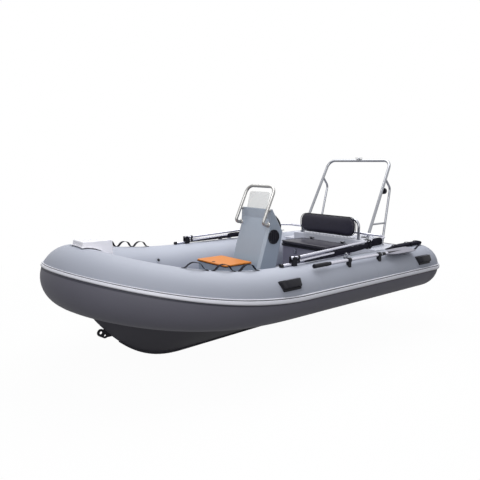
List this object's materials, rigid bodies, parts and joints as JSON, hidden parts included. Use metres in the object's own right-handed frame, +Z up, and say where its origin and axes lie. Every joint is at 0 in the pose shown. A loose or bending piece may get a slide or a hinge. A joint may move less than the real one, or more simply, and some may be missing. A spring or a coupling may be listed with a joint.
{
  "type": "rigid inflatable boat",
  "caption": "Rib boat with a V hull, grey air collar, helm console, bench seat with backrest, stainless arch, folded sun canopy and oars on the tubes.",
  "frame": {"origin": "on the centreline at the transom's aft face, at the waterline of the boat afloat and empty", "axes": "+X to the bow, +Y to port, +Z up"},
  "size_m": [3.846, 2.077, 1.716],
  "materials": {
    "tube_fabric": "grey coated tube fabric, darker below the strake",
    "strake_rubber": "light grey rubber",
    "hull_gelcoat": "dark grey glassfibre gelcoat",
    "deck_gelcoat": "pale grey non-slip gelcoat",
    "console_gelcoat": "blue-grey gelcoat",
    "step_gelcoat": "white gelcoat",
    "black_plastic": "black moulded plastic",
    "wheel_plastic": "black moulded steering wheel",
    "rail_tube": "satin light grey tube",
    "screen": "clear smoked acrylic",
    "cushion_vinyl": "glossy black marine vinyl",
    "varnished_wood": "varnished orange-brown board",
    "steel": "polished stainless steel",
    "pole_aluminium": "bright anodised aluminium tube",
    "canopy_fabric": "black acrylic canvas",
    "blade_plastic": "grey moulded blade",
    "handle_rubber": "black moulded rubber",
    "webbing": "black woven webbing"
  },
  "bodies": {
    "boat": {"collar_bow": "tube_fabric", "collar_port": "tube_fabric", "collar_starboard": "tube_fabric", "rub_strake": "strake_rubber", "hull": "hull_gelcoat", "keel_band": "strake_rubber", "floor": "deck_gelcoat", "transom": "hull_gelcoat", "aft_deck": "deck_gelcoat", "console": "console_gelcoat", "side_covers": "black_plastic", "helm_boss": "black_plastic", "throttle": "black_plastic", "console_rail": "rail_tube", "windscreen": "screen", "seat_box": "console_gelcoat", "seat_hinges": "steel", "seat_latch": "steel", "backrest_frame": "steel", "backrest_pad": "cushion_vinyl", "front_locker": "console_gelcoat", "locker_hinges": "steel", "arch_hoop": "steel", "arch_brace_port": "steel", "arch_brace_starboard": "steel", "lamp_mount": "steel", "horn": "black_plastic", "canopy_brackets": "black_plastic", "oar_grips": "black_plastic", "oar_shafts": "pole_aluminium", "oar_blades": "blade_plastic", "oar_clips": "black_plastic", "rowlocks": "steel", "carry_handles": "handle_rubber", "grab_straps": "webbing", "rolled_cover": "canopy_fabric", "bow_step": "step_gelcoat", "bow_eye": "steel"},
    "wheel": {"steering_wheel": "wheel_plastic"},
    "seat": {"seat_lid": "console_gelcoat", "seat_cushion": "cushion_vinyl"},
    "locker": {"locker_lid": "varnished_wood"},
    "canopy": {"canopy_bow": "pole_aluminium", "canopy_low_poles": "pole_aluminium", "canopy_sleeves": "canopy_fabric"}
  },
  "joints": [
    {"name": "wheel_turn", "type": "hinge", "parent": "boat", "child": "wheel", "pos_m": [1.38522, 0, 0.84992], "axis": [-0.8527, 0, 0.5224], "range_deg": [-540, 540]},
    {"name": "seat_lid_swing", "type": "hinge", "parent": "boat", "child": "seat", "pos_m": [0.533, 0, 0.592], "axis": [0, -1, 0], "range_deg": [0, 65]},
    {"name": "locker_lid_swing", "type": "hinge", "parent": "boat", "child": "locker", "pos_m": [1.8267, 0, 0.5156], "axis": [0, -1, 0], "range_deg": [0, 95]},
    {"name": "canopy_swing", "type": "hinge", "parent": "boat", "child": "canopy", "pos_m": [1.865, 0, 0.642], "axis": [0, 1, 0], "range_deg": [0, 100]}
  ]
}
